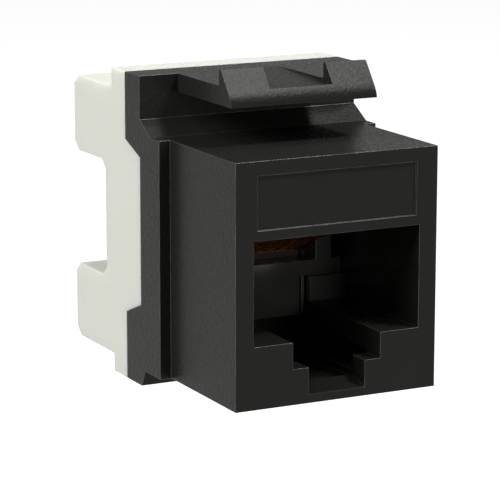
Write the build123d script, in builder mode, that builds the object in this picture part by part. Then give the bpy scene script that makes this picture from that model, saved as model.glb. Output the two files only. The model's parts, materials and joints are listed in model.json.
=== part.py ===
from build123d import *
import math
import os

# Keystone jack: a snap-in socket for twisted-pair data cable, with punch-down rows at the rear.
# Lengths are in millimetres. X runs across the jack, Y from the front face to the rear, Z up.
# The origin is the middle of the front face's lower edge, which lies on the sill of the cut-out.
# Heights are measured from the underside of the front body, depths from its front face.

# Front body and shoulder flange
body_width = 14.5
body_height = 15.9
shoulder_depth = 9.4
flange_width = 16.08
shoulder_ledge = 1.29
brace_run = 1.71
brace_rise = 0.96
flange_thickness = 2.3
hook_drop = 1.12
hook_thickness = 2.36
hook_slant = 0.55
roof_thickness = 2.05
front_wall = 1.65

# Snap latch, a tongue moulded on the top of the flange
latch_width = 10.55
latch_gap = 2.62
latch_arm_thickness = 1.23
latch_reach = 7.94
catch_height = 1.02
catch_setback = 1.8
catch_land = 0.3
latch_tip_height = 0.33
latch_notch_width = 4.54
latch_notch_drop = 0.2
ramp_curved_share = 0.3
notch_overcut = 1.0

# Label recess on the front face, left bare
label_width = 11.4
label_height = 3.47
label_top_margin = 0.94
label_depth = 0.15

# Plug opening and the room for the plug's own latch below it
port_width = 11.92
port_head = 5.06
ledge_height = 4.08
upper_step_width = 6.32
upper_step_height = 2.35
lower_step_width = 4.06
sill_height = 0.57
sill_rise = 0.48
latch_room_width = 10.0
latch_room_rear_wall = 2.8
shelf_underside_front = 2.41
shelf_underside_rear = 3.2
side_floor_height = 1.0
groove_floor_height = 0.5
groove_width = 5.4

# Contact carrier, the insert that holds the eight spring wires
fit_clearance = 0.05
nose_gap = 0.25
block_depth = 9.6
block_top = 5.75
block_inner_width = 6.4
bar_depth = 10.24
bar_bottom = 5.85
bar_height = 0.93
web_thickness = 0.9
window_side_gap = 0.174
post_thickness = 1.21
plate_height = 2.35
plate_rear_depth = 13.0
lip_depth = 11.9
lip_height = 0.37
lip_thickness = 0.5
lip_width = 6.92
lip_gap = 0.27
skirt_bottom = 3.07
skirt_width = 5.5
skirt_groove = 0.12

# Spring wires
contact_count = 8
contact_pitch = 1.016
contact_wire = 0.46
contact_run_drop = 1.05
contact_bend_depth = 2.6
contact_bend_drop = 1.66
contact_bend_radius = 0.75
contact_over_lip = 0.27
contact_tip_depth = 12.9
contact_row_offset = 0.7
contact_jog_start = 14.1
contact_jog_length = 0.7
contact_jog_radius = 0.4
wire_slot_clearance = 0.05
pin_stand_out = 0.35

# Circuit board
board_side_margin = 1.24
board_row_margin = 1.71
board_thickness = 1.2
board_hole_clearance = 0.07
board_pocket_clearance = 0.05
pin_relief = 0.55
pin_relief_margin = 0.5

# Rear housing with its two punch-down rows
tongue_depth = 2.32
tongue_top_inset = 4.5
tongue_bottom_inset = 4.64
tongue_slant = 0.9
back_plate_thickness = 2.13
row_depth = 8.44
row_height = 5.23
row_inset = 1.23
row_chamfer_depth = 0.69
row_chamfer_height = 0.6
valley_depth = 5.17
valley_chamfer = 0.55
slots_per_row = 4
row_end_wall = 2.665
wire_slot_width = 1.15
wire_slot_depth = 4.3
lead_in_width = 1.85
lead_in_depth = 0.6

# Punch-down contacts
blade_width = 2.2
blade_thickness = 0.4
blade_setback = 0.9
blade_slit_width = 0.3
blade_slit_length = 3.3
blade_mouth_width = 1.0
blade_mouth_depth = 0.6
blade_pin_width = 0.6
blade_shoulder_gap = 0.1
blade_clearance = 0.05

# Places that follow from the sizes above
ledge_end_depth = shoulder_depth + shoulder_ledge
flange_front = ledge_end_depth + brace_run
flange_rear = flange_front + flange_thickness
latch_underside = body_height + latch_gap
flange_top = latch_underside + latch_arm_thickness
hook_foot_depth = flange_rear - hook_thickness
ceiling_height = body_height - roof_thickness
port_top = body_height - port_head
label_bottom = body_height - label_top_margin - label_height
tongue_front = flange_rear - tongue_depth
tongue_base_top = flange_top - tongue_top_inset
tongue_base_bottom = tongue_bottom_inset - hook_drop
tongue_top = tongue_base_top - tongue_slant
tongue_bottom = tongue_base_bottom + tongue_slant
board_rear = flange_rear + board_thickness
back_plate_rear = flange_rear + back_plate_thickness
row_rear = flange_rear + row_depth
row_bottoms = (row_inset - hook_drop, flange_top - row_inset - row_height)
row_middles = [bottom + row_height / 2 for bottom in row_bottoms]
board_bottom = row_middles[0] - board_row_margin
board_top = row_middles[1] + board_row_margin
board_width = flange_width - 2 * board_side_margin
wire_slot_pitch = (flange_width - 2 * row_end_wall - wire_slot_width) / (slots_per_row - 1)
contact_positions = [(n - (contact_count - 1) / 2) * contact_pitch for n in range(contact_count)]
window_width = (contact_count - 1) * contact_pitch + contact_wire + 2 * window_side_gap
slot_positions = [(n - (slots_per_row - 1) / 2) * wire_slot_pitch for n in range(slots_per_row)]
rear_cavity_bottom = bar_bottom - fit_clearance
bar_top = bar_bottom + bar_height
lip_top = bar_top + lip_height
carrier_width = port_width - 2 * fit_clearance
carrier_top = ceiling_height - fit_clearance
plate_bottom = carrier_top - plate_height
contact_run_height = carrier_top - contact_run_drop
contact_bend_height = contact_run_height - contact_bend_drop
pin_heights = [contact_run_height + side * contact_row_offset for side in (-1, 1)]


def at_depth(depth):
    """The upright plane across the jack at this depth. A negative extrusion runs to the rear."""
    return Plane.XZ.offset(-depth)


def side_on(width):
    """The side-view plane, set half a width to the left, for a profile drawn across that width."""
    return Plane.YZ.offset(-width / 2)


def upright_rectangle(width, bottom, top, x=0.0):
    """A rectangle in an upright sketch, given by its width, its lower and upper heights and its middle."""
    with Locations((x, (bottom + top) / 2)):
        Rectangle(width, top - bottom)


os.makedirs("parts", exist_ok=True)

# Front housing: the body that fills the cut-out, the flange behind it and the fixed lower hook
with BuildPart() as front_housing:
    with BuildSketch(side_on(flange_width)):
        with BuildLine():
            Polyline(
                (shoulder_depth, 0),
                (hook_foot_depth - hook_slant, 0),
                (hook_foot_depth, -hook_drop),
                (flange_rear, -hook_drop),
                (flange_rear, tongue_base_bottom),
                (tongue_front, tongue_bottom),
                (tongue_front, tongue_top),
                (flange_rear, tongue_base_top),
                (flange_rear, flange_top),
                (flange_front, flange_top),
                (flange_front, body_height + brace_rise),
                (ledge_end_depth, body_height),
                (shoulder_depth, body_height),
                close=True,
            )
        make_face()
    extrude(amount=flange_width)
    with BuildSketch(at_depth(0)):
        upright_rectangle(body_width, 0, body_height)
    extrude(amount=-shoulder_depth)

    # The plug's opening through the front wall
    with BuildSketch(at_depth(0)):
        upright_rectangle(port_width, ledge_height, port_top)
        upright_rectangle(upper_step_width, upper_step_height, ledge_height)
    extrude(amount=-front_wall, mode=Mode.SUBTRACT)
    with BuildSketch(side_on(lower_step_width)):
        with BuildLine():
            Polyline(
                (0, sill_height),
                (front_wall, sill_height + sill_rise),
                (front_wall, ledge_height),
                (0, ledge_height),
                close=True,
            )
        make_face()
    extrude(amount=lower_step_width, mode=Mode.SUBTRACT)

    # The cavity behind it, open to the rear for the contact carrier
    with BuildSketch(at_depth(front_wall)):
        upright_rectangle(port_width, ledge_height, ceiling_height)
    extrude(amount=-(tongue_front - front_wall), mode=Mode.SUBTRACT)

    # Under the two ledges: the room in which the plug's latch springs out
    latch_room_rear = flange_rear - latch_room_rear_wall
    with BuildSketch(side_on(latch_room_width)):
        with BuildLine():
            Polyline(
                (front_wall, side_floor_height),
                (latch_room_rear, side_floor_height),
                (latch_room_rear, shelf_underside_rear),
                (front_wall, shelf_underside_front),
                close=True,
            )
        make_face()
    extrude(amount=latch_room_width, mode=Mode.SUBTRACT)
    with BuildSketch(at_depth(front_wall)):
        upright_rectangle(upper_step_width, side_floor_height, ledge_height)
        upright_rectangle(groove_width, groove_floor_height, side_floor_height)
    extrude(amount=-(latch_room_rear - front_wall), mode=Mode.SUBTRACT)

    # Bare label recess above the opening
    with BuildSketch(at_depth(0)):
        upright_rectangle(label_width, label_bottom, label_bottom + label_height)
    extrude(amount=-label_depth, mode=Mode.SUBTRACT)
front_housing.part.label = "front_housing"
export_step(front_housing.part, "parts/front_housing.step")

# Snap latch: a flat arm from the top of the flange, with a ramp and a catch near its tip
latch_tip_depth = flange_front - latch_reach
catch_depth = latch_tip_depth + catch_setback
catch_top = flange_top + catch_height
ramp_top_depth = catch_depth - catch_land
tip_corner_height = latch_underside + latch_tip_height
curve_start = (
    latch_tip_depth + ramp_curved_share * (ramp_top_depth - latch_tip_depth),
    tip_corner_height + ramp_curved_share * (catch_top - tip_corner_height),
)
with BuildPart() as panel_latch:
    with BuildSketch(side_on(latch_width)):
        with BuildLine():
            Polyline(
                (latch_tip_depth, latch_underside),
                (flange_front, latch_underside),
                (flange_front, flange_top),
                (catch_depth, flange_top),
                (catch_depth, catch_top),
                (ramp_top_depth, catch_top),
                curve_start,
            )
            # The foot of the ramp curves down into the tip's front
            Bezier(curve_start, (latch_tip_depth, tip_corner_height), (latch_tip_depth, latch_underside))
        make_face()
    extrude(amount=latch_width)
    # The sloping notch that splits the catch in two
    notch_front = latch_tip_depth - notch_overcut
    notch_top = catch_top + notch_overcut
    notch_floor = flange_top - latch_notch_drop * (flange_front - notch_front) / (flange_front - catch_depth)
    with BuildSketch(side_on(latch_notch_width)):
        with BuildLine():
            Polyline(
                (flange_front, flange_top),
                (notch_front, notch_floor),
                (notch_front, notch_top),
                (flange_front, notch_top),
                close=True,
            )
        make_face()
    extrude(amount=latch_notch_width, mode=Mode.SUBTRACT)
panel_latch.part.label = "panel_latch"
export_step(panel_latch.part, "parts/panel_latch.step")

# Contact carrier: slides in from the rear, its plate over the plug and its bar and skirt behind it
nose_depth = front_wall + nose_gap
wire_slot = contact_wire + 2 * wire_slot_clearance
slot_floor = contact_run_height - wire_slot / 2
turn_depth = contact_bend_depth + wire_slot / 2
bend_relief = contact_bend_radius - wire_slot / 2
with BuildPart() as contact_carrier:
    # The plate that carries the wires, cut by one slot for each of them
    with BuildSketch(at_depth(nose_depth)):
        upright_rectangle(carrier_width, plate_bottom, carrier_top)
    extrude(amount=-(plate_rear_depth - nose_depth))
    for x in contact_positions:
        with BuildSketch(Plane.YZ.offset(x - wire_slot / 2)):
            with BuildLine():
                Polyline(
                    (nose_depth, carrier_top),
                    (nose_depth, plate_bottom),
                    (turn_depth, plate_bottom),
                    (turn_depth, slot_floor - bend_relief),
                    (turn_depth + bend_relief, slot_floor),
                    (plate_rear_depth, slot_floor),
                    (plate_rear_depth, carrier_top),
                    close=True,
                )
            make_face()
        extrude(amount=wire_slot, mode=Mode.SUBTRACT)

    # Bar, its shelf back to the circuit board and the posts beside the window
    with BuildSketch(at_depth(bar_depth)):
        upright_rectangle(carrier_width, bar_bottom, bar_top)
        for side in (-1, 1):
            post_middle = side * (window_width + post_thickness) / 2
            upright_rectangle(post_thickness, bar_top, plate_bottom, post_middle)
    extrude(amount=-(flange_rear - bar_depth))

    # Low lip on the shelf, under the free ends of the wires
    with BuildSketch(at_depth(lip_depth)):
        upright_rectangle(lip_width, bar_top, lip_top)
        lip_end_width = (window_width - lip_width) / 2 - lip_gap
        for side in (-1, 1):
            upright_rectangle(lip_end_width, bar_top, lip_top, side * (window_width - lip_end_width) / 2)
    extrude(amount=-lip_thickness)

    # Blocks that stand on the housing's ledges and stop the plug
    with BuildSketch(at_depth(block_depth)):
        block_width = (carrier_width - block_inner_width) / 2
        for side in (-1, 1):
            upright_rectangle(block_width, ledge_height, block_top, side * (carrier_width - block_width) / 2)
    extrude(amount=-(bar_depth + web_thickness - block_depth))

    # Skirt that closes the channel below the bar, with a rib at each side
    with BuildSketch(at_depth(bar_depth)):
        upright_rectangle(skirt_width, skirt_bottom, bar_bottom)
        rib_width = upper_step_width / 2 - fit_clearance - skirt_width / 2 - skirt_groove
        rib_middle = upper_step_width / 2 - fit_clearance - rib_width / 2
        for side in (-1, 1):
            upright_rectangle(rib_width, skirt_bottom, bar_bottom, side * rib_middle)
        upright_rectangle(carrier_width, block_top, bar_bottom)
    extrude(amount=-web_thickness)
contact_carrier.part.label = "contact_carrier"
export_step(contact_carrier.part, "parts/contact_carrier.step")

# Spring wires of square section: from the board forward over the plate, round its nose and back down
lip_rear = lip_depth + lip_thickness
contact_slope = (contact_bend_height - lip_top - contact_over_lip) / (lip_rear - contact_bend_depth)
contact_tip_height = contact_bend_height - contact_slope * (contact_tip_depth - contact_bend_depth)
for number, x in enumerate(contact_positions, start=1):
    pin_height = pin_heights[number % 2]
    with BuildPart() as jack_contact:
        with BuildLine(Plane.YZ.offset(x)) as route:
            FilletPolyline(
                (board_rear + pin_stand_out, pin_height),
                (contact_jog_start, pin_height),
                (contact_jog_start - contact_jog_length, contact_run_height),
                (contact_bend_depth, contact_run_height),
                (contact_bend_depth, contact_bend_height),
                (contact_tip_depth, contact_tip_height),
                radius=[contact_jog_radius] * 2 + [contact_bend_radius] * 2,
            )
        with BuildSketch(Plane(origin=route.line @ 0, x_dir=(1, 0, 0), z_dir=route.line % 0)):
            Rectangle(contact_wire, contact_wire)
        sweep(path=route.wire())
    jack_contact.part.label = f"jack_contact_{number}"
    export_step(jack_contact.part, f"parts/jack_contact_{number}.step")

# Circuit board: joins the spring wires to the punch-down contacts
with BuildPart() as circuit_board:
    with BuildSketch(at_depth(flange_rear)):
        upright_rectangle(board_width, board_bottom, board_top)
        for number, x in enumerate(contact_positions, start=1):
            with Locations((x, pin_heights[number % 2])):
                Circle(math.hypot(contact_wire, contact_wire) / 2 + board_hole_clearance, mode=Mode.SUBTRACT)
        for height in row_middles:
            with Locations([(x, height) for x in slot_positions]):
                Circle(math.hypot(blade_pin_width, blade_thickness) / 2 + board_hole_clearance,
                       mode=Mode.SUBTRACT)
    extrude(amount=-board_thickness)
circuit_board.part.label = "circuit_board"
export_step(circuit_board.part, "parts/circuit_board.step")

# Rear housing: a tongue into the flange, a pocket for the board and two rows that stand to the rear
row_low, row_high = row_bottoms
valley_floor_depth = row_rear - valley_depth
blade_tip_depth = row_rear - blade_setback
relief_rear = board_rear + pin_relief
with BuildPart() as idc_housing:
    with BuildSketch(side_on(flange_width)):
        with BuildLine():
            Polyline(
                (flange_rear, -hook_drop),
                (flange_rear, tongue_base_bottom),
                (tongue_front, tongue_bottom),
                (tongue_front, tongue_top),
                (flange_rear, tongue_base_top),
                (flange_rear, flange_top),
                (back_plate_rear, flange_top),
                (back_plate_rear, row_high + row_height),
                (row_rear - row_chamfer_depth, row_high + row_height),
                (row_rear, row_high + row_height - row_chamfer_height),
                (row_rear, row_high + row_chamfer_height),
                (row_rear - row_chamfer_depth, row_high),
                (valley_floor_depth + valley_chamfer, row_high),
                (valley_floor_depth, row_high - valley_chamfer),
                (valley_floor_depth, row_low + row_height + valley_chamfer),
                (valley_floor_depth + valley_chamfer, row_low + row_height),
                (row_rear - row_chamfer_depth, row_low + row_height),
                (row_rear, row_low + row_height - row_chamfer_height),
                (row_rear, row_low + row_chamfer_height),
                (row_rear - row_chamfer_depth, row_low),
                (back_plate_rear, row_low),
                (back_plate_rear, -hook_drop),
                close=True,
            )
        make_face()
    extrude(amount=flange_width)

    # The way through the tongue for the carrier's rear end
    with BuildSketch(at_depth(tongue_front)):
        upright_rectangle(port_width, rear_cavity_bottom, ceiling_height)
    extrude(amount=-tongue_depth, mode=Mode.SUBTRACT)

    # Pocket for the board, with a shallower one behind it for the ends of the pins
    with BuildSketch(at_depth(flange_rear)):
        upright_rectangle(
            board_width + 2 * board_pocket_clearance,
            board_bottom - board_pocket_clearance,
            board_top + board_pocket_clearance,
        )
    extrude(amount=-(board_thickness + board_pocket_clearance), mode=Mode.SUBTRACT)
    with BuildSketch(at_depth(board_rear)):
        upright_rectangle(
            board_width - 2 * pin_relief_margin,
            board_bottom + pin_relief_margin,
            board_top - pin_relief_margin,
        )
    extrude(amount=-pin_relief, mode=Mode.SUBTRACT)

    # Wire slots with flared mouths, and in each row the seats of the four blades
    for bottom, middle in zip(row_bottoms, row_middles):
        with BuildSketch(Plane.XY.offset(bottom)):
            for x in slot_positions:
                with BuildLine():
                    Polyline(
                        (x - wire_slot_width / 2, row_rear - wire_slot_depth),
                        (x + wire_slot_width / 2, row_rear - wire_slot_depth),
                        (x + wire_slot_width / 2, row_rear - lead_in_depth),
                        (x + lead_in_width / 2, row_rear),
                        (x - lead_in_width / 2, row_rear),
                        (x - wire_slot_width / 2, row_rear - lead_in_depth),
                        close=True,
                    )
                make_face()
        extrude(amount=row_height, mode=Mode.SUBTRACT)
        with BuildSketch(at_depth(relief_rear)):
            with Locations([(x, middle) for x in slot_positions]):
                Rectangle(blade_width + 2 * blade_clearance, blade_thickness + 2 * blade_clearance)
        extrude(amount=-(blade_tip_depth + blade_clearance - relief_rear), mode=Mode.SUBTRACT)
idc_housing.part.label = "idc_housing"
export_step(idc_housing.part, "parts/idc_housing.step")

# Punch-down contacts: slit blades, four in each row, with a pin through the board
blade_root = board_rear + blade_shoulder_gap
places = [(x, height) for height in reversed(row_middles) for x in slot_positions]
for number, (x, height) in enumerate(places, start=1):
    with BuildPart() as idc_contact:
        with BuildSketch(Plane.XY.offset(height - blade_thickness / 2)):
            with BuildLine():
                Polyline(
                    (x - blade_width / 2, blade_root),
                    (x - blade_pin_width / 2, blade_root),
                    (x - blade_pin_width / 2, flange_rear),
                    (x + blade_pin_width / 2, flange_rear),
                    (x + blade_pin_width / 2, blade_root),
                    (x + blade_width / 2, blade_root),
                    (x + blade_width / 2, blade_tip_depth),
                    (x + blade_mouth_width / 2, blade_tip_depth),
                    (x + blade_slit_width / 2, blade_tip_depth - blade_mouth_depth),
                    (x + blade_slit_width / 2, blade_tip_depth - blade_slit_length),
                    (x - blade_slit_width / 2, blade_tip_depth - blade_slit_length),
                    (x - blade_slit_width / 2, blade_tip_depth - blade_mouth_depth),
                    (x - blade_mouth_width / 2, blade_tip_depth),
                    (x - blade_width / 2, blade_tip_depth),
                    close=True,
                )
            make_face()
        extrude(amount=blade_thickness)
    idc_contact.part.label = f"idc_contact_{number}"
    export_step(idc_contact.part, f"parts/idc_contact_{number}.step")
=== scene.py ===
# %% [markdown]
# # A keystone jack in a small studio
#
# The object is a snap-in socket for twisted-pair data cable, about 16 mm wide. A black moulding faces
# the panel and carries a sprung latch on top. A warm white moulding behind it holds two rows in which
# the cable's wires are punched down. Eight gilded spring wires run from a circuit board between the
# two forward into the opening.
#
# The solids come from CAD and are loaded as a fixed frame. This file dresses them: it rounds their
# edges, builds the metal parts anew, and gives every piece a finish made of nodes.

# %% Load the solids
import json
import math

import bmesh
import bpy
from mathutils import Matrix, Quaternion, Vector
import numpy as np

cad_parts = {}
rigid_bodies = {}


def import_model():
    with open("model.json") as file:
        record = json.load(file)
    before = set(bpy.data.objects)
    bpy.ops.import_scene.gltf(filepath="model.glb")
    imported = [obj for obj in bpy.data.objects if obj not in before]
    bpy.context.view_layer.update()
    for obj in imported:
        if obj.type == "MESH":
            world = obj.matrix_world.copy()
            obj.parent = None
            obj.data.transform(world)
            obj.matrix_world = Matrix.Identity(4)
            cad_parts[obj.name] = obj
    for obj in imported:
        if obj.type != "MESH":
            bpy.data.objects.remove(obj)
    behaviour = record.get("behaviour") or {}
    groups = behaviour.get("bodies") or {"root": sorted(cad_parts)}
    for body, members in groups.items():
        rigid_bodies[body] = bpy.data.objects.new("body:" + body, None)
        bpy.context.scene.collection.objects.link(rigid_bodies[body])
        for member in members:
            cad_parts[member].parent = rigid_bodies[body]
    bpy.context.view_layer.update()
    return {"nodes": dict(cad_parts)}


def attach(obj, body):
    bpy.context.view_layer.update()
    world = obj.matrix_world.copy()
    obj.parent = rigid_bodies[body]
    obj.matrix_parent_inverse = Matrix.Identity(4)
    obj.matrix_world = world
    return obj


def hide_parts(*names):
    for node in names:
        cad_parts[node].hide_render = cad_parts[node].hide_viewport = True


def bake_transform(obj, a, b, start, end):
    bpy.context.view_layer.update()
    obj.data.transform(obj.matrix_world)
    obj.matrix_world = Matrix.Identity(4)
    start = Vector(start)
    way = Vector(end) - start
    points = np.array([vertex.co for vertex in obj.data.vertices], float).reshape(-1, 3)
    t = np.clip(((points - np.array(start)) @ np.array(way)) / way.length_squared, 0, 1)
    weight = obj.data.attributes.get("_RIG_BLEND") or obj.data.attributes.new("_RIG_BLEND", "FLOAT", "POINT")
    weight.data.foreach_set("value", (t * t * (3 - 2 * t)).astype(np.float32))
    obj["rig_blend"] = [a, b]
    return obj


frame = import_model()
MM = 0.001

# %% [markdown]
# ## The camera
#
# The picture was taken with a long lens, from the left of the front and a little above. Such a view
# could be set by eye, but the position below was solved from the corners of the object, so that the
# solids fall on the same pixels. The frame is square, 500 by 500, and the sensor is Blender's usual
# 36 mm.

# %% Place the camera
CAMERA_AT = Vector((-77.04, -138.82, 43.97)) * MM
CAMERA_AIM = Vector((-2.154, 8.0, 8.432)) * MM
CAMERA_ROLL = math.radians(0.07)
CAMERA_LENS, CAMERA_SENSOR = 185.1, 36

camera_data = bpy.data.cameras.new("camera")
camera_data.lens = CAMERA_LENS
camera_data.sensor_width = CAMERA_SENSOR
camera_data.clip_start = 0.01
camera_data.clip_end = 10
camera = bpy.data.objects.new("camera", camera_data)
camera.location = CAMERA_AT
camera.rotation_mode = "QUATERNION"
level = (CAMERA_AIM - CAMERA_AT).to_track_quat("-Z", "Y")
camera.rotation_quaternion = level @ Quaternion((0, 0, 1), CAMERA_ROLL)
bpy.context.collection.objects.link(camera)
bpy.context.scene.camera = camera
bpy.context.scene.view_settings.view_transform = "Standard"
print("camera to object in mm:", round((CAMERA_AIM - CAMERA_AT).length / MM, 1))

# %% [markdown]
# ## Small helpers for node trees
#
# Shader trees and geometry trees are built the same way: a node is added, its settings and unlinked
# sockets are filled in, and its outputs are joined to other nodes. Two helpers keep each tree short
# enough to read from top to bottom.

# %% Helpers for node trees
FLOAT, COLOUR, VECTOR = "NodeSocketFloat", "NodeSocketColor", "NodeSocketVector"
GEOMETRY, FINISH, WHOLE = "NodeSocketGeometry", "NodeSocketMaterial", "NodeSocketInt"


def add_node(tree, kind, inputs=None, **settings):
    """Adds a node. Each entry of inputs is a socket to link from, or a value for the socket."""
    node = tree.nodes.new(kind)
    for name, value in settings.items():
        setattr(node, name, value)
    for key, value in (inputs or {}).items():
        if isinstance(value, bpy.types.NodeSocket):
            tree.links.new(value, node.inputs[key])
        else:
            node.inputs[key].default_value = value
    return node


def new_group(name, kind, inputs, outputs):
    """An empty node group with named sockets. Each input is (name, socket type, value)."""
    tree = bpy.data.node_groups.new(name, kind)
    for socket_name, socket_type, value in inputs:
        socket = tree.interface.new_socket(name=socket_name, in_out="INPUT", socket_type=socket_type)
        if value is not None:
            socket.default_value = value
    for socket_name, socket_type in outputs:
        tree.interface.new_socket(name=socket_name, in_out="OUTPUT", socket_type=socket_type)
    start = tree.nodes.new("NodeGroupInput")
    end = tree.nodes.new("NodeGroupOutput")
    return tree, start, end


print("socket types for shaders:", FLOAT, COLOUR, VECTOR, "and for geometry:", GEOMETRY, FINISH, WHOLE)

# %% [markdown]
# ## The room
#
# The studio is a pale room with a darker ceiling. Camera and transmission rays see white, so the
# background is white, while the light that falls on the object stays at a level of its own. Glossy rays
# see white too where they leave level or downwards, so metal reflects the pale room. Those that leave
# upwards meet the darker ceiling, which keeps the black plastic black at a flat angle. Walls could be
# modelled instead, but one world tree does it and stands in nobody's view.

# %% Light the room
ROOM_LIGHT = 0.15
CEILING_LIGHT = 0.13
CEILING_START = 0.22

world = bpy.data.worlds.new("room")
bpy.context.scene.world = world
world.use_nodes = True
room = world.node_tree
room.nodes.clear()
rays = add_node(room, "ShaderNodeLightPath")
heading = add_node(room, "ShaderNodeSeparateXYZ", {
    "Vector": add_node(room, "ShaderNodeTexCoord").outputs["Generated"]})
ceiling = add_node(room, "ShaderNodeMapRange", {
    "Value": heading.outputs["Z"], "From Min": 0.0, "From Max": CEILING_START,
    "To Min": 1.0, "To Max": CEILING_LIGHT})
reflected = add_node(room, "ShaderNodeMix", {
    0: rays.outputs["Is Glossy Ray"], 2: ROOM_LIGHT, 3: ceiling.outputs[0]}, data_type="FLOAT")
straight = add_node(room, "ShaderNodeMath", {
    0: rays.outputs["Is Camera Ray"], 1: rays.outputs["Is Transmission Ray"]}, operation="MAXIMUM")
level_seen = add_node(room, "ShaderNodeMix", {
    0: straight.outputs[0], 2: reflected.outputs[0], 3: 1.0}, data_type="FLOAT")
glow = add_node(room, "ShaderNodeBackground", {"Color": (1, 1, 1, 1), "Strength": level_seen.outputs[0]})
add_node(room, "ShaderNodeOutputWorld", {"Surface": glow.outputs[0]})
print("room light:", ROOM_LIGHT, "ceiling seen in gloss:", CEILING_LIGHT)

# %% [markdown]
# ## The lamps
#
# A black part shows its form by what it mirrors, so the softboxes hang where its faces mirror them into
# the camera. The large one on the left lights the sides and sets the level of the white. The two over
# the right shoulder shine off the latch's ramp and the slopes below it. A weak one on the left front
# draws the edges, one on the left rear reaches the lower row, and one low in front shines into the
# opening. Each is an area lamp, which has soft shadows and shows in the gloss as a real softbox does.

# %% Hang the lamps
JACK_MIDDLE = Vector((0, 8, 10))
SOFTBOXES = [  # name, place and width in millimetres, power in watts
    ("lamp_left", (-350, 5, 248), 180, 1.16),
    ("lamp_over_left", (-180, 110, 340), 120, 0.16),
    ("lamp_over_front", (162, -150, 356), 90, 1.1),
    ("lamp_over_rear", (185, 62, 370), 90, 0.36),
    ("lamp_edges", (-190, -150, 330), 80, 0.22),
    ("lamp_front", (60, -420, 50), 90, 0.25),
]

for name, place, width, power in SOFTBOXES:
    data = bpy.data.lights.new(name, "AREA")
    data.shape = "SQUARE"
    data.size = width * MM
    data.energy = power
    lamp = bpy.data.objects.new(name, data)
    lamp.location = Vector(place) * MM
    lamp.rotation_mode = "QUATERNION"
    lamp.rotation_quaternion = (JACK_MIDDLE * MM - lamp.location).to_track_quat("-Z", "Y")
    bpy.context.collection.objects.link(lamp)
print("lamps:", len(SOFTBOXES), "together in watts:", round(sum(box[3] for box in SOFTBOXES), 2))

# %% [markdown]
# ## The floor
#
# A pale floor lies well below the jack, which is held up by its mount in the wall plate. It is lit like
# any other surface, and a glow for the camera brings it to white, so it keeps the soft shadow. More
# light could make it white as well, but it would fall on the jack too. The glow rises with the distance,
# so that no edge shows where the floor meets the room.

# %% Lay the floor
FLOOR_HEIGHT = -32 * MM
FLOOR_REACH = 3.0
FLOOR_GLOW, HORIZON_GLOW = 0.86, 0.98
GLOW_RISES_FROM, GLOW_RISES_TO = 0.5, 1.2

floor_mesh = bpy.data.meshes.new("floor")
floor_mesh.from_pydata(
    [(x * FLOOR_REACH, y * FLOOR_REACH, FLOOR_HEIGHT) for x, y in ((-1, -1), (1, -1), (1, 1), (-1, 1))],
    [], [(0, 1, 2, 3)])
floor = bpy.data.objects.new("floor", floor_mesh)
bpy.context.collection.objects.link(floor)

floor_finish = bpy.data.materials.new("floor paper")
floor_finish.use_nodes = True
paper = floor_finish.node_tree
paper.nodes.clear()
rays = add_node(paper, "ShaderNodeLightPath")
seen = add_node(paper, "ShaderNodeMath", {
    0: rays.outputs["Is Camera Ray"], 1: rays.outputs["Is Glossy Ray"]}, operation="MAXIMUM")
seen = add_node(paper, "ShaderNodeMath", {
    0: seen.outputs[0], 1: rays.outputs["Is Transmission Ray"]}, operation="MAXIMUM")
spot = add_node(paper, "ShaderNodeTexCoord")
away = add_node(paper, "ShaderNodeVectorMath", {0: spot.outputs["Object"]}, operation="LENGTH")
towards_horizon = add_node(paper, "ShaderNodeMapRange", {
    "Value": away.outputs["Value"], "From Min": GLOW_RISES_FROM, "From Max": GLOW_RISES_TO,
    "To Min": FLOOR_GLOW, "To Max": HORIZON_GLOW})
glow = add_node(paper, "ShaderNodeMath", {
    0: seen.outputs[0], 1: towards_horizon.outputs[0]}, operation="MULTIPLY")
shine = add_node(paper, "ShaderNodeEmission", {"Color": (1, 1, 1, 1), "Strength": glow.outputs[0]})
matt = add_node(paper, "ShaderNodeBsdfDiffuse", {"Color": (0.3, 0.3, 0.3, 1)})
both = add_node(paper, "ShaderNodeAddShader", {0: shine.outputs[0], 1: matt.outputs[0]})
add_node(paper, "ShaderNodeOutputMaterial", {"Surface": both.outputs[0]})
floor_mesh.materials.append(floor_finish)

# %% [markdown]
# ## Shared effect: moulded grain
#
# Three effects return in most finishes, so each is a node group with its own sizes as inputs. The
# first is the fine leathery texture that spark erosion leaves in a mould. It could be modelled, but its
# cells are a quarter of a millimetre, so it is a height for a bump. Smooth cells give the leather and
# finer noise breaks them up. The groups read Object coordinates, which on every piece are metres in the
# frame of the solids.

# %% Moulded grain
grain, grain_in, grain_out = new_group(
    "moulded grain", "ShaderNodeTree",
    [("Vector", VECTOR, None), ("Cells per Metre", FLOAT, 6000.0), ("Fine Share", FLOAT, 0.4)],
    [("Height", FLOAT), ("Pits", FLOAT)])
cells = add_node(grain, "ShaderNodeTexVoronoi", {
    "Vector": grain_in.outputs["Vector"], "Scale": grain_in.outputs["Cells per Metre"],
    "Smoothness": 0.6}, feature="SMOOTH_F1")
finer = add_node(grain, "ShaderNodeMath", {
    0: grain_in.outputs["Cells per Metre"], 1: 2.3}, operation="MULTIPLY")
speckle = add_node(grain, "ShaderNodeTexNoise", {
    "Vector": grain_in.outputs["Vector"], "Scale": finer.outputs[0], "Detail": 2.0, "Roughness": 0.6})
blended = add_node(grain, "ShaderNodeMix", {
    0: grain_in.outputs["Fine Share"], 2: cells.outputs["Distance"], 3: speckle.outputs["Fac"]},
    data_type="FLOAT")
pits = add_node(grain, "ShaderNodeMapRange", {
    "Value": blended.outputs[0], "From Min": 0.35, "From Max": 0.65, "To Min": 0.0, "To Max": 1.0})
grain.links.new(blended.outputs[0], grain_out.inputs["Height"])
grain.links.new(pits.outputs[0], grain_out.inputs["Pits"])
print("moulded grain:", len(grain.nodes), "nodes")

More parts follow.
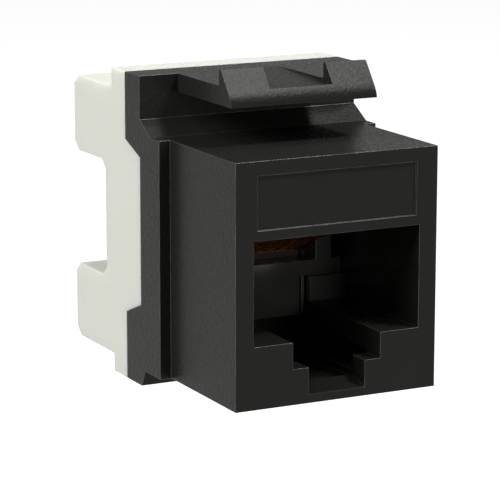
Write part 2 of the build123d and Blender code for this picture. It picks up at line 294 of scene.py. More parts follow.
# %% [markdown]
# ## Shared effect: slow mottling
#
# A large moulded or plated surface is never of one colour: it has a faint cloudiness that shows when it
# is turned in the light. Broad noise blends two close tones, and its mask is put out as well, so that a
# finish can let the gloss follow the clouds.

# %% Slow mottling
mottling, mottling_in, mottling_out = new_group(
    "slow mottling", "ShaderNodeTree",
    [("Vector", VECTOR, None), ("Patches per Metre", FLOAT, 300.0), ("Light", COLOUR, (1, 1, 1, 1)),
     ("Dark", COLOUR, (0, 0, 0, 1))],
    [("Color", COLOUR), ("Mask", FLOAT)])
clouds = add_node(mottling, "ShaderNodeTexNoise", {
    "Vector": mottling_in.outputs["Vector"], "Scale": mottling_in.outputs["Patches per Metre"],
    "Detail": 3.0, "Roughness": 0.55})
spread = add_node(mottling, "ShaderNodeMapRange", {
    "Value": clouds.outputs["Fac"], "From Min": 0.3, "From Max": 0.7, "To Min": 0.0, "To Max": 1.0})
tone = add_node(mottling, "ShaderNodeMix", {
    0: spread.outputs[0], 6: mottling_in.outputs["Dark"], 7: mottling_in.outputs["Light"]},
    data_type="RGBA")
mottling.links.new(tone.outputs[2], mottling_out.inputs["Color"])
mottling.links.new(spread.outputs[0], mottling_out.inputs["Mask"])
print("slow mottling:", len(mottling.nodes), "nodes")

# %% [markdown]
# ## Shared effect: worn and highlighted edge
#
# Handling polishes the edges first, and the finishes also use this mask to paint a highlight along
# the edges. A mask for them could come from Pointiness, which depends on how fine the mesh is, or from
# the Bevel node, which costs render time. The rounded edges are real faces here, so they carry an
# attribute "edge", which is 1 on them, and noise breaks it up along the edge.

# %% Worn and highlighted edge
edge_wear_and_highlight, edge_wear_and_highlight_in, edge_wear_and_highlight_out = new_group(
    "worn and highlighted edge", "ShaderNodeTree",
    [("Vector", VECTOR, None), ("Breaks per Metre", FLOAT, 900.0), ("Amount", FLOAT, 1.0)],
    [("Mask", FLOAT)])
rounded = add_node(edge_wear_and_highlight, "ShaderNodeAttribute", attribute_name="edge")
breaks = add_node(edge_wear_and_highlight, "ShaderNodeTexNoise", {
    "Vector": edge_wear_and_highlight_in.outputs["Vector"], "Scale": edge_wear_and_highlight_in.outputs["Breaks per Metre"], "Detail": 3.0})
kept = add_node(edge_wear_and_highlight, "ShaderNodeMapRange", {
    "Value": breaks.outputs["Fac"], "From Min": 0.3, "From Max": 0.6, "To Min": 0.35, "To Max": 1.0})
on_edges = add_node(edge_wear_and_highlight, "ShaderNodeMath", {
    0: rounded.outputs["Fac"], 1: kept.outputs[0]}, operation="MULTIPLY")
amount = add_node(edge_wear_and_highlight, "ShaderNodeMath", {
    0: on_edges.outputs[0], 1: edge_wear_and_highlight_in.outputs["Amount"]}, operation="MULTIPLY")
edge_wear_and_highlight.links.new(amount.outputs[0], edge_wear_and_highlight_out.inputs["Mask"])
print("shared effects:", [g.name for g in bpy.data.node_groups])

# %% [markdown]
# ## How a moulded plastic is built
#
# All plastics share one build. Mottling gives the base colour its two close tones, and the edges get a
# lighter colour, partly as wear and partly as a painted highlight. The grain drives the bump. The gloss
# is split in two. The plastic's own sheen follows the bump and shows the grain. Over it lies a thin
# smooth coat, which the worn edge raises. One strong sheen would glare at a flat angle, while the two
# together keep the black deep there.

# %% Build a moulded plastic
def moulded_plastic(name, light, dark, wear_and_highlight_colour, sheen, gloss, edge_gloss, rough, cells, depth):
    """A plastic with grain, mottling, and edges lightened partly as wear and partly as a painted highlight.
    Depth is the bump's height in millimetres.
    """
    finish = bpy.data.materials.new(name)
    finish.use_nodes = True
    tree = finish.node_tree
    body = tree.nodes["Principled BSDF"]
    place = add_node(tree, "ShaderNodeTexCoord").outputs["Object"]

    colour = add_node(tree, "ShaderNodeGroup", {
        "Vector": place, "Light": (*light, 1), "Dark": (*dark, 1)}, node_tree=mottling)
    edges = add_node(tree, "ShaderNodeGroup", {"Vector": place}, node_tree=edge_wear_and_highlight)
    # The edges' colour is lifted: partly wear, partly a painted highlight along the rounded edges.
    worn_and_highlighted = add_node(tree, "ShaderNodeMix", {
        0: edges.outputs["Mask"], 6: colour.outputs["Color"], 7: (*wear_and_highlight_colour, 1)}, data_type="RGBA")
    tree.links.new(worn_and_highlighted.outputs[2], body.inputs["Base Color"])

    texture = add_node(tree, "ShaderNodeGroup", {"Vector": place, "Cells per Metre": cells}, node_tree=grain)
    pitted = add_node(tree, "ShaderNodeMapRange", {
        "Value": texture.outputs["Pits"], "To Min": rough - 0.03, "To Max": rough + 0.03})
    tree.links.new(pitted.outputs[0], body.inputs["Roughness"])
    bump = add_node(tree, "ShaderNodeBump", {
        "Strength": 1.0, "Distance": depth * MM, "Height": texture.outputs["Height"]})
    tree.links.new(bump.outputs[0], body.inputs["Normal"])
    body.inputs["Specular IOR Level"].default_value = sheen

    dulled = add_node(tree, "ShaderNodeMapRange", {
        "Value": texture.outputs["Pits"], "To Min": 1.06 * gloss, "To Max": 0.94 * gloss})
    polished = add_node(tree, "ShaderNodeMix", {
        0: edges.outputs["Mask"], 2: dulled.outputs[0], 3: edge_gloss}, data_type="FLOAT")
    tree.links.new(polished.outputs[0], body.inputs["Coat Weight"])
    body.inputs["Coat Roughness"].default_value = rough
    print("plastic:", name, "with", len(tree.nodes), "nodes")
    return finish


# %% [markdown]
# ## The five plastic finishes
#
# Outside, the black moulding is matt and grained. Inside the plug opening the mould was polished, so it
# has a finish of its own there, and its colour is a little darker there as painted shade. The carrier is
# of a harder, greyer plastic, and its shelf gets a pale finish. The white plastic lets some light in,
# which comes out again a millimetre away and softens its edges. That is done with the shader's
# subsurface, because a plain white would look like chalk.

# %% Mix the plastics
SMOOTH_CELLS, SMOOTH_DEPTH = 2500, 0.0003

# Each edge colour is lighter than its plastic, as wear and as a painted highlight.
black_plastic = moulded_plastic(
    "black plastic", light=(0.0182, 0.0182, 0.0161), dark=(0.0165, 0.0165, 0.0146),
    wear_and_highlight_colour=(0.05, 0.05, 0.046), sheen=0.03, gloss=0.1, edge_gloss=1.0, rough=0.29,
    cells=4100, depth=0.035)
# Inside the opening the black is polished and a little darker: the darker colour is painted shade.
black_polished_shaded = moulded_plastic(
    "black plastic polished and shaded", light=(0.0150, 0.0150, 0.0133), dark=(0.0140, 0.0140, 0.0124),
    wear_and_highlight_colour=(0.05, 0.05, 0.046), sheen=0.04, gloss=0.08, edge_gloss=0.9, rough=0.25,
    cells=SMOOTH_CELLS, depth=SMOOTH_DEPTH)
carrier_plastic = moulded_plastic(
    "carrier plastic", light=(0.0410, 0.0410, 0.0400), dark=(0.0390, 0.0390, 0.0380),
    wear_and_highlight_colour=(0.06, 0.06, 0.058), sheen=0.2, gloss=0.5, edge_gloss=0.8, rough=0.14,
    cells=SMOOTH_CELLS, depth=SMOOTH_DEPTH)
# The shelf's faces get a pale finish, which shows as a bright band behind the wires.
pale_shelf_band = moulded_plastic(
    "pale band on the shelf", light=(0.38, 0.34, 0.27), dark=(0.34, 0.30, 0.24),
    wear_and_highlight_colour=(0.38, 0.34, 0.27), sheen=0.4, gloss=0.2, edge_gloss=0.3, rough=0.2,
    cells=SMOOTH_CELLS, depth=SMOOTH_DEPTH)
white_plastic = moulded_plastic(
    "white plastic", light=(0.750, 0.755, 0.675), dark=(0.742, 0.747, 0.667),
    wear_and_highlight_colour=(0.77, 0.77, 0.69), sheen=0.3, gloss=0.2, edge_gloss=0.4, rough=0.35,
    cells=4300, depth=0.002)
white_body = white_plastic.node_tree.nodes["Principled BSDF"]
white_body.inputs["Subsurface Weight"].default_value = 0.9
white_body.inputs["Subsurface Radius"].default_value = (1.0, 0.95, 0.8)
white_body.inputs["Subsurface Scale"].default_value = 1.0 * MM

# %% [markdown]
# ## The metals
#
# The spring wires are gold over nickel. The punch-down blades are tin plated and a little duller, and
# the solder has the smoothest skin of the three. Drawing and stamping leave faint scratches along a
# piece. They could be stretched along each wire by a UV map, but the pieces all lie along the jack, so
# noise on Object coordinates is stretched that way for all of them.

# %% Build a plated metal
SCRATCH_STRETCH = 0.08


def plated_metal(name, colour, dull, rough, scratches):
    """A metal with scratches drawn out along the length of the jack."""
    finish = bpy.data.materials.new(name)
    finish.use_nodes = True
    tree = finish.node_tree
    body = tree.nodes["Principled BSDF"]
    body.inputs["Metallic"].default_value = 1.0
    place = add_node(tree, "ShaderNodeTexCoord").outputs["Object"]
    drawn = add_node(tree, "ShaderNodeMapping", {"Vector": place, "Scale": (1.0, SCRATCH_STRETCH, 1.0)})
    lines = add_node(tree, "ShaderNodeTexNoise", {
        "Vector": drawn.outputs[0], "Scale": scratches, "Detail": 3.0})
    tarnish = add_node(tree, "ShaderNodeGroup", {
        "Vector": place, "Patches per Metre": 700, "Light": (*colour, 1), "Dark": (*dull, 1)},
        node_tree=mottling)
    tree.links.new(tarnish.outputs["Color"], body.inputs["Base Color"])
    shine = add_node(tree, "ShaderNodeMapRange", {
        "Value": lines.outputs["Fac"], "From Min": 0.3, "From Max": 0.7,
        "To Min": rough - 0.06, "To Max": rough + 0.1})
    tree.links.new(shine.outputs[0], body.inputs["Roughness"])
    bump = add_node(tree, "ShaderNodeBump", {
        "Strength": 0.5, "Distance": 0.002 * MM, "Height": lines.outputs["Fac"]})
    tree.links.new(bump.outputs[0], body.inputs["Normal"])
    print("metal:", name, "with", len(tree.nodes), "nodes")
    return finish


gold = plated_metal("contact gold", (0.92, 0.52, 0.12), (0.74, 0.38, 0.07), rough=0.24, scratches=9000)
tin = plated_metal("blade tin", (0.68, 0.67, 0.65), (0.52, 0.52, 0.51), rough=0.34, scratches=7000)
solder = plated_metal("solder", (0.62, 0.62, 0.61), (0.50, 0.50, 0.50), rough=0.22, scratches=3000)

# %% [markdown]
# ## The board's finish
#
# The circuit board is pale glass cloth in clear resin, and the weave of the cloth shows through as a
# fine square pattern. Two waves that cross give the weave, and their product drives a shallow bump. No
# drawn picture of cloth is needed for so small a pattern.

# %% Build the board's lacquer
THREADS_PER_METRE = 900.0

board_lacquer = bpy.data.materials.new("board lacquer")
board_lacquer.use_nodes = True
lacquer = board_lacquer.node_tree
lacquer_body = lacquer.nodes["Principled BSDF"]
place = add_node(lacquer, "ShaderNodeTexCoord").outputs["Object"]
shade = add_node(lacquer, "ShaderNodeGroup", {
    "Vector": place, "Light": (0.62, 0.56, 0.42, 1), "Dark": (0.54, 0.48, 0.36, 1)}, node_tree=mottling)
lacquer.links.new(shade.outputs["Color"], lacquer_body.inputs["Base Color"])
warp = add_node(lacquer, "ShaderNodeTexWave", {
    "Vector": place, "Scale": THREADS_PER_METRE}, bands_direction="X")
weft = add_node(lacquer, "ShaderNodeTexWave", {
    "Vector": place, "Scale": THREADS_PER_METRE}, bands_direction="Z")
cloth = add_node(lacquer, "ShaderNodeMath", {
    0: warp.outputs["Fac"], 1: weft.outputs["Fac"]}, operation="MULTIPLY")
weave = add_node(lacquer, "ShaderNodeBump", {
    "Strength": 0.3, "Distance": 0.004 * MM, "Height": cloth.outputs[0]})
lacquer.links.new(weave.outputs[0], lacquer_body.inputs["Normal"])
dulled_patches = add_node(lacquer, "ShaderNodeMapRange", {
    "Value": shade.outputs["Mask"], "To Min": 0.3, "To Max": 0.42})
lacquer.links.new(dulled_patches.outputs[0], lacquer_body.inputs["Roughness"])
print("finishes:", [m.name for m in bpy.data.materials])

# %% [markdown]
# ## Rounding the moulded edges
#
# No moulded edge is perfectly sharp, and a rounded one catches a thin line of light. The solids arrive
# as loose triangles, so a copy is merged first and its flat faces are joined up again. A Bevel modifier
# then rounds every edge sharper than 20 degrees. It puts its new faces in a second material slot, which
# is how they are found afterwards: they get the attribute "edge", and the slot goes away, unless some
# faces of the piece have a finish of their own and need it.

# %% Copy a solid
MERGE_DISTANCE = 0.0005 * MM
FLAT_WITHIN = math.radians(0.5)


def merged_mesh(node, name):
    """One closed mesh with whole flat faces, from the loose triangles of a solid."""
    form = bmesh.new()
    form.from_mesh(frame["nodes"][node].data)
    bmesh.ops.remove_doubles(form, verts=form.verts, dist=MERGE_DISTANCE)
    bmesh.ops.dissolve_limit(form, angle_limit=FLAT_WITHIN, verts=form.verts, edges=form.edges)
    for layer in list(form.loops.layers.uv):
        form.loops.layers.uv.remove(layer)
    clean = bpy.data.meshes.new(name)
    form.to_mesh(clean)
    form.free()
    for attribute in [a.name for a in clean.attributes if a.name == "custom_normal"]:
        clean.attributes.remove(clean.attributes[attribute])
    return clean


def cut_across(form, depths):
    """Cuts the faces of an open mesh along upright planes at these depths, in millimetres."""
    for y in depths:
        bmesh.ops.bisect_plane(form, geom=form.verts[:] + form.edges[:] + form.faces[:],
                               plane_co=(0, y * MM, 0), plane_no=(0, 1, 0))


def new_piece(name, mesh):
    """An object at the origin, unturned and unscaled, with its place in its mesh."""
    piece = bpy.data.objects.new(name, mesh)
    bpy.context.collection.objects.link(piece)
    return piece


print("points closer than", MERGE_DISTANCE / MM, "mm are merged")

# %% Round the edges of a copy
ROUNDED_OVER = math.radians(20)


def plain_mesh(piece):
    """Puts the evaluated mesh of a piece in place of its modifiers."""
    bpy.context.view_layer.update()
    graph = bpy.context.evaluated_depsgraph_get()
    made = bpy.data.meshes.new_from_object(piece.evaluated_get(graph), depsgraph=graph)
    piece.modifiers.clear()
    piece.data = made
    return made


def round_edges(piece, radius, finish, inner_finish=None, is_inner=None):
    """Bevels the edges of a piece by a radius in millimetres and marks the new faces."""
    mesh = piece.data
    mesh.materials.clear()
    mesh.materials.append(finish)
    mesh.materials.append(finish)
    mesh.shade_smooth()
    bevel = piece.modifiers.new("rounded edges", "BEVEL")
    bevel.width = radius * MM
    bevel.segments = 2
    bevel.limit_method = "ANGLE"
    bevel.angle_limit = ROUNDED_OVER
    bevel.harden_normals = True
    bevel.material = 1
    made = plain_mesh(piece)
    edge = made.attributes.new("edge", "FLOAT", "FACE")
    for face in made.polygons:
        edge.data[face.index].value = float(face.material_index == 1)
        face.material_index = int(bool(is_inner and is_inner(face.center / MM)))
    if inner_finish:
        made.materials[1] = inner_finish
    else:
        made.materials.pop(index=1)


print("edges sharper than", round(math.degrees(ROUNDED_OVER)), "degrees are rounded")

# %% [markdown]
# ## The front moulding
#
# The black body fills the cut-out of a panel. Behind it a flange stops the jack, and a hook below holds
# its lower edge. The label recess over the opening stays bare. The inside could be a piece of its own
# with the polished finish, which is darker as painted shade, but it is one moulding, so its faces are
# found by where they lie.

# %% Dress the front moulding
BODY_EDGE = 0.06
PLUG_ROOM_LOW, PLUG_ROOM_HIGH = Vector((-6.0, 0.5, 0.4)), Vector((6.0, 13.0, 13.95))


def inside_opening(point):
    """True for the faces of the plug's opening and the room behind it, in millimetres."""
    return all(low < at < high for low, at, high in zip(PLUG_ROOM_LOW, point, PLUG_ROOM_HIGH))


front_body = new_piece("front_body", merged_mesh("front_housing", "front_body"))
# The faces inside the opening take the polished finish, whose darker colour is painted shade.
round_edges(front_body, BODY_EDGE, black_plastic, inner_finish=black_polished_shaded, is_inner=inside_opening)
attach(front_body, "jack")
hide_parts("front_housing")
print("front body:", len(front_body.data.polygons), "faces")

# %% [markdown]
# ## The snap latch
#
# The latch is one moulding with the flange: a flat arm that bends near its root when a thumb presses the
# ramp. The solids have it as a body of its own on a sprung hinge. Here the arm is cut into short bays
# along its root, and blends from the jack's body to the latch's, so it bends in a curve. Its root
# reaches into the flange by the radius of the flange's edge, so that no groove shows where they join.

# %% Dress the latch
LATCH_ROOT = 12.4
BEND_END = 8.8
BEND_BAYS = 12

latch_mesh = merged_mesh("panel_latch", "snap_latch")
form = bmesh.new()
form.from_mesh(latch_mesh)
for vert in form.verts:
    if abs(vert.co.y / MM - LATCH_ROOT) < 0.001:
        vert.co.y += BODY_EDGE * MM
cut_across(form, [LATCH_ROOT + (BEND_END - LATCH_ROOT) * bay / BEND_BAYS for bay in range(1, BEND_BAYS)])
form.to_mesh(latch_mesh)
form.free()
snap_latch = new_piece("snap_latch", latch_mesh)
round_edges(snap_latch, BODY_EDGE, black_plastic)
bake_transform(snap_latch, "jack", "latch", start=(0, LATCH_ROOT * MM, 0.0191), end=(0, BEND_END * MM, 0.0191))
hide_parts("panel_latch")
print("latch:", len(snap_latch.data.polygons), "faces")

# %% [markdown]
# ## The contact carrier
#
# An insert of harder, glossier plastic holds the spring wires. It is a separate moulding, so its edges
# are crisper than those of the body. Behind its bar the shelf gets a pale finish, which shows as a bright
# band under the ends of the wires and throws light up at them. The band could be a piece of its own, but
# it never moves against the carrier, so it is a second finish on the same piece: the mesh is cut along the
# line where the shelf starts, and the faces behind that line take the pale finish.

# %% Dress the carrier
CARRIER_EDGE = 0.035
SHELF_START = 11.9
SHELF_HALF_WIDTH = 3.4
SHELF_LOWEST, SHELF_HIGHEST = 6.7, 7.2


def on_shelf(point):
    """True for the faces of the shelf between the bar and the board, in millimetres."""
    return (abs(point.x) < SHELF_HALF_WIDTH and point.y > SHELF_START + 0.1
            and SHELF_LOWEST < point.z < SHELF_HIGHEST)


carrier_mesh = merged_mesh("contact_carrier", "wire_carrier")
form = bmesh.new()
form.from_mesh(carrier_mesh)
cut_across(form, [SHELF_START])
form.to_mesh(carrier_mesh)
form.free()
wire_carrier = new_piece("wire_carrier", carrier_mesh)
round_edges(wire_carrier, CARRIER_EDGE, carrier_plastic, inner_finish=pale_shelf_band, is_inner=on_shelf)
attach(wire_carrier, "jack")
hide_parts("contact_carrier")
print("carrier:", len(wire_carrier.data.polygons), "faces")

# %% [markdown]
# ## The rear moulding
#
# The warm white moulding closes the jack at the rear. Its two rows stand out like combs, with a slot for
# each wire of the cable. The solid has them all, so only its edges are rounded. They are a little
# crisper than those of the black body, because the combs are thin.

# %% Dress the rear moulding
ROW_EDGE = 0.045

rear_rows = new_piece("rear_rows", merged_mesh("idc_housing", "rear_rows"))
round_edges(rear_rows, ROW_EDGE, white_plastic)
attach(rear_rows, "jack")
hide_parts("idc_housing")
print("rear moulding:", len(rear_rows.data.polygons), "faces")

# %% [markdown]
# ## The route of the spring wires
#
# Each wire leaves the board, steps to the height of its slot, runs forward over the carrier, turns
# round its nose and comes back down to rest free above the lip. A wire could be a Bezier curve with
# handles, but its bends have set radii, as a bending tool gives them. So a route is a bare chain of
# edges between its corners, and each corner stores the radius of its bend.

# %% Route the spring wires
WIRE_COUNT, WIRE_PITCH = 8, 1.016
WIRE_SIZE = 0.46
RUN_HEIGHT, PIN_OFFSET = 12.75, 0.7
PIN_END, STEP_START, STEP_END, NOSE = 16.25, 14.1, 13.4, 2.6
NOSE_LOW = 11.09
TIP_DEPTH, TIP_HEIGHT = 12.9, 7.233
STEP_BEND, NOSE_BEND = 0.4, 0.75


def wire_x(number):
    """The place of a wire across the jack, in millimetres."""
    return (number - (WIRE_COUNT - 1) / 2) * WIRE_PITCH


def wire_route(number):
    """The corners of a wire from its pin to its tip, each (y, z, bend radius), in millimetres."""
    pin = RUN_HEIGHT + (PIN_OFFSET if number % 2 == 0 else -PIN_OFFSET)
    return [(PIN_END, pin, 0.0), (STEP_START, pin, STEP_BEND), (STEP_END, RUN_HEIGHT, STEP_BEND),
            (NOSE, RUN_HEIGHT, NOSE_BEND), (NOSE, NOSE_LOW, NOSE_BEND), (TIP_DEPTH, TIP_HEIGHT, 0.0)]


corners, chain, bends = [], [], []
for number in range(WIRE_COUNT):
    for step, (y, z, bend) in enumerate(wire_route(number)):
        if step:
            chain.append((len(corners) - 1, len(corners)))
        corners.append((wire_x(number) * MM, y * MM, z * MM))
        bends.append(bend * MM)
wire_mesh = bpy.data.meshes.new("spring_wires")
wire_mesh.from_pydata(corners, chain, [])
wire_mesh.attributes.new("bend_radius", "FLOAT", "POINT").data.foreach_set("value", bends)
print("wire corners:", len(corners))

# %% [markdown]
# ## The spring wires
#
# A Geometry Nodes tree makes the wires: Fillet Curve rounds the corners by the stored radius, and Curve
# to Mesh sweeps a square section with softened corners along the result. One tree does all eight, and
# the ends are closed by Fill Caps.

# %% Grow the wires along their routes
SHARP_OVER = math.radians(50)

wire_tree, wire_in, wire_out = new_group(
    "spring wires", "GeometryNodeTree",
    [("Route", GEOMETRY, None), ("Width", FLOAT, WIRE_SIZE * MM), ("Thickness", FLOAT, WIRE_SIZE * MM),
     ("Corner", FLOAT, 0.05 * MM), ("Bend Steps", WHOLE, 8), ("Finish", FINISH, None)],
    [("Wires", GEOMETRY)])
spine = add_node(wire_tree, "GeometryNodeMeshToCurve", {"Mesh": wire_in.outputs["Route"]})
radius = add_node(wire_tree, "GeometryNodeInputNamedAttribute", {"Name": "bend_radius"}, data_type="FLOAT")
rounded_spine = add_node(wire_tree, "GeometryNodeFilletCurve", {
    "Curve": spine.outputs[0], "Count": wire_in.outputs["Bend Steps"], "Radius": radius.outputs[0],
    "Limit Radius": True}, mode="POLY")
square = add_node(wire_tree, "GeometryNodeCurvePrimitiveQuadrilateral", {
    "Width": wire_in.outputs["Width"], "Height": wire_in.outputs["Thickness"]}, mode="RECTANGLE")
section = add_node(wire_tree, "GeometryNodeFilletCurve", {
    "Curve": square.outputs[0], "Count": 2, "Radius": wire_in.outputs["Corner"]}, mode="POLY")
drawn_wire = add_node(wire_tree, "GeometryNodeCurveToMesh", {
    "Curve": rounded_spine.outputs[0], "Profile Curve": section.outputs[0], "Fill Caps": True})
whole = add_node(wire_tree, "GeometryNodeRealizeInstances", {0: drawn_wire.outputs[0]})
plated = add_node(wire_tree, "GeometryNodeSetMaterial", {
    "Geometry": whole.outputs[0], "Material": wire_in.outputs["Finish"]})
wire_tree.links.new(plated.outputs[0], wire_out.inputs["Wires"])


def grow(piece, tree, finish):
    """Runs a Geometry Nodes tree on a piece with this finish and keeps the plain mesh."""
    modifier = piece.modifiers.new(tree.name, "NODES")
    modifier.node_group = tree
    named = {item.name: item.identifier for item in tree.interface.items_tree if item.in_out == "INPUT"}
    modifier[named["Finish"]] = finish
    plain_mesh(piece)


spring_wires = new_piece("spring_wires", wire_mesh)
grow(spring_wires, wire_tree, gold)
spring_wires.data.set_sharp_from_angle(angle=SHARP_OVER)
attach(spring_wires, "jack")
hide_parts(*[f"jack_contact_{n + 1}" for n in range(WIRE_COUNT)])
print("spring wires:", len(spring_wires.data.polygons), "faces")

# %% [markdown]
# ## The shape of a punch-down blade
#
# A blade is a fork stamped from sheet. A cable wire pushed into its slit has its insulation cut, and is
# gripped by the two tines. A stamped part is an outline with one thickness, so it is drawn as a single
# flat face: one half of the outline as (x, y) from the foot to the slit's bottom, and its mirror image.

# %% Draw one blade
BLADE_FOOT, BLADE_ROOT, BLADE_TIP = 14.7, 16.0, 22.24
FOOT_HALF, BLADE_HALF = 0.3, 1.1
MOUTH_HALF, SLIT_HALF = 0.5, 0.15
MOUTH_DEPTH, SLIT_DEPTH = 0.6, 3.3

half_blade = [(FOOT_HALF, BLADE_FOOT), (FOOT_HALF, BLADE_ROOT), (BLADE_HALF, BLADE_ROOT),
              (BLADE_HALF, BLADE_TIP), (MOUTH_HALF, BLADE_TIP), (SLIT_HALF, BLADE_TIP - MOUTH_DEPTH),
              (SLIT_HALF, BLADE_TIP - SLIT_DEPTH)]
blade_outline = half_blade + [(-x, y) for x, y in reversed(half_blade)]
blade_mesh = bpy.data.meshes.new("punch_down_blades")
blade_mesh.from_pydata(
    [(x * MM, y * MM, 0) for x, y in blade_outline], [], [tuple(range(len(blade_outline)))])
print("blade outline:", len(blade_outline), "corners")

# %% [markdown]
# ## The two rows of blades
#
# There are four blades in each row. A tree puts the drawn one on an upright grid of two rows and four
# columns. Its grid could be four fixed points, but so the pitch and the rows' heights stay inputs.

# %% Set the blades in rows
BLADE_COLUMNS, COLUMN_PITCH = 4, 3.2
ROW_HEIGHTS = (2.725, 15.905)

blade_tree, blade_in, blade_out = new_group(
    "two rows of blades", "GeometryNodeTree",
    [("Blade", GEOMETRY, None), ("Columns", WHOLE, BLADE_COLUMNS), ("Column Pitch", FLOAT, COLUMN_PITCH * MM),
     ("Low Row", FLOAT, ROW_HEIGHTS[0] * MM), ("High Row", FLOAT, ROW_HEIGHTS[1] * MM),
     ("Finish", FINISH, None)],
    [("Blades", GEOMETRY)])
gaps = add_node(blade_tree, "ShaderNodeMath", {
    0: blade_in.outputs["Columns"], 1: 1.0}, operation="SUBTRACT")
span = add_node(blade_tree, "ShaderNodeMath", {
    0: gaps.outputs[0], 1: blade_in.outputs["Column Pitch"]}, operation="MULTIPLY")
rise = add_node(blade_tree, "ShaderNodeMath", {
    0: blade_in.outputs["High Row"], 1: blade_in.outputs["Low Row"]}, operation="SUBTRACT")
both_rows = add_node(blade_tree, "ShaderNodeMath", {
    0: blade_in.outputs["High Row"], 1: blade_in.outputs["Low Row"]}, operation="ADD")
middle = add_node(blade_tree, "ShaderNodeMath", {0: both_rows.outputs[0], 1: 0.5}, operation="MULTIPLY")
grid = add_node(blade_tree, "GeometryNodeMeshGrid", {
    "Size X": span.outputs[0], "Size Y": rise.outputs[0], "Vertices X": blade_in.outputs["Columns"],
    "Vertices Y": 2})
lift = add_node(blade_tree, "ShaderNodeCombineXYZ", {"Z": middle.outputs[0]})
upright = add_node(blade_tree, "GeometryNodeTransform", {
    "Geometry": grid.outputs["Mesh"], "Translation": lift.outputs[0], "Rotation": (math.pi / 2, 0, 0)})
placed = add_node(blade_tree, "GeometryNodeInstanceOnPoints", {
    "Points": upright.outputs[0], "Instance": blade_in.outputs["Blade"]})
real = add_node(blade_tree, "GeometryNodeRealizeInstances", {0: placed.outputs[0]})
tinned = add_node(blade_tree, "GeometryNodeSetMaterial", {
    "Geometry": real.outputs[0], "Material": blade_in.outputs["Finish"]})
blade_tree.links.new(tinned.outputs[0], blade_out.inputs["Blades"])
punch_down_blades = new_piece("punch_down_blades", blade_mesh)
grow(punch_down_blades, blade_tree, tin)
print("blades drawn:", len(punch_down_blades.data.polygons))

# %% [markdown]
# ## The thickness of the blades
#
# Solidify gives the sheet its thickness, half to each side of the drawn face, and Bevel softens the
# stamped edges. Both are modifiers, so the outline above stays the only drawing of the blade.

# %% Stamp the blades
BLADE_THICKNESS, BLADE_EDGE = 0.4, 0.03

sheet = punch_down_blades.modifiers.new("sheet", "SOLIDIFY")
sheet.thickness = BLADE_THICKNESS * MM
sheet.offset = 0
stamped = punch_down_blades.modifiers.new("stamped edges", "BEVEL")
stamped.width = BLADE_EDGE * MM
stamped.segments = 2
stamped.limit_method = "ANGLE"
stamped.harden_normals = True
punch_down_blades.data.shade_smooth()
plain_mesh(punch_down_blades)
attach(punch_down_blades, "jack")
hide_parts(*[f"idc_contact_{n}" for n in range(1, 9)])
print("blades:", len(punch_down_blades.data.polygons), "faces")

# %% [markdown]
# ## The circuit board
#
# The board joins the spring wires to the blades. It is a plain plate with holes, and nothing would be
# gained by drawing it again, so it keeps its CAD shape and gets the glass-cloth finish.

# %% Finish the board
board = frame["nodes"]["circuit_board"]
for slot in board.material_slots:
    slot.link = "OBJECT"
    slot.material = board_lacquer
print("board:", len(board.data.polygons), "faces, finish", board_lacquer.name)

# %% [markdown]
# ## The solder
#
# Where a spring wire comes through the board, it is soldered, so a tree puts a small cone of solder at
# each pin. A cone of solder is hollow in outline, because the metal creeps up the pin: a Set Position
# node draws in the middle of the cone's height by a share that follows half a sine wave.

# %% Solder the pins
BOARD_BACK = 15.9

joint_mesh = bpy.data.meshes.new("solder_joints")
joint_mesh.from_pydata(
    [(wire_x(n) * MM, BOARD_BACK * MM, wire_route(n)[0][1] * MM) for n in range(WIRE_COUNT)], [], [])

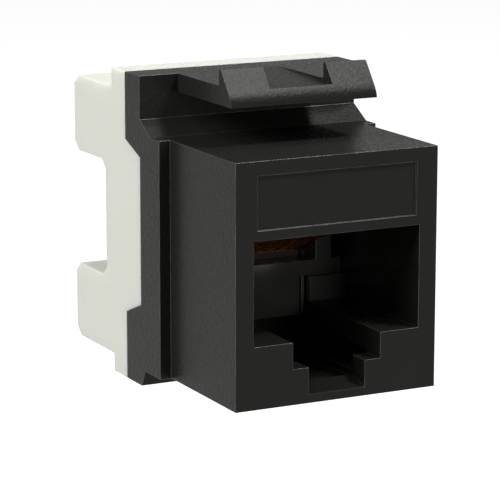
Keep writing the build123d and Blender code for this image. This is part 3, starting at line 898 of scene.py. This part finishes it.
joint_tree, joint_in, joint_out = new_group(
    "solder joints", "GeometryNodeTree",
    [("Pins", GEOMETRY, None), ("Foot Radius", FLOAT, 0.46 * MM), ("Top Radius", FLOAT, 0.31 * MM),
     ("Height", FLOAT, 0.28 * MM), ("Hollow", FLOAT, 0.16), ("Finish", FINISH, None)],
    [("Joints", GEOMETRY)])
cone = add_node(joint_tree, "GeometryNodeMeshCone", {
    "Vertices": 24, "Side Segments": 5, "Fill Segments": 1, "Radius Top": joint_in.outputs["Top Radius"],
    "Radius Bottom": joint_in.outputs["Foot Radius"], "Depth": joint_in.outputs["Height"]})
spot = add_node(joint_tree, "GeometryNodeInputPosition")
parts = add_node(joint_tree, "ShaderNodeSeparateXYZ", {"Vector": spot.outputs[0]})
share = add_node(joint_tree, "ShaderNodeMath", {
    0: parts.outputs["Z"], 1: joint_in.outputs["Height"]}, operation="DIVIDE")
turn = add_node(joint_tree, "ShaderNodeMath", {0: share.outputs[0], 1: math.pi}, operation="MULTIPLY")
belly = add_node(joint_tree, "ShaderNodeMath", {0: turn.outputs[0]}, operation="SINE")
drawn_in = add_node(joint_tree, "ShaderNodeMath", {
    0: belly.outputs[0], 1: joint_in.outputs["Hollow"]}, operation="MULTIPLY")
kept_share = add_node(joint_tree, "ShaderNodeMath", {
    0: 1.0, 1: drawn_in.outputs[0]}, operation="SUBTRACT")
sideways = add_node(joint_tree, "ShaderNodeCombineXYZ", {
    "X": kept_share.outputs[0], "Y": kept_share.outputs[0], "Z": 1.0})
hollowed = add_node(joint_tree, "ShaderNodeVectorMath", {
    0: spot.outputs[0], 1: sideways.outputs[0]}, operation="MULTIPLY")
fillet = add_node(joint_tree, "GeometryNodeSetPosition", {
    "Geometry": cone.outputs["Mesh"], "Position": hollowed.outputs[0]})
soldered = add_node(joint_tree, "GeometryNodeInstanceOnPoints", {
    "Points": joint_in.outputs["Pins"], "Instance": fillet.outputs[0], "Rotation": (-math.pi / 2, 0, 0)})
real = add_node(joint_tree, "GeometryNodeRealizeInstances", {0: soldered.outputs[0]})
smoothed = add_node(joint_tree, "GeometryNodeSetShadeSmooth", {0: real.outputs[0]})
silvered = add_node(joint_tree, "GeometryNodeSetMaterial", {
    "Geometry": smoothed.outputs[0], "Material": joint_in.outputs["Finish"]})
joint_tree.links.new(silvered.outputs[0], joint_out.inputs["Joints"])

solder_joints = new_piece("solder_joints", joint_mesh)
grow(solder_joints, joint_tree, solder)
solder_joints.data.set_sharp_from_angle(angle=SHARP_OVER)
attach(solder_joints, "jack")
print("solder joints:", len(solder_joints.data.polygons), "faces")
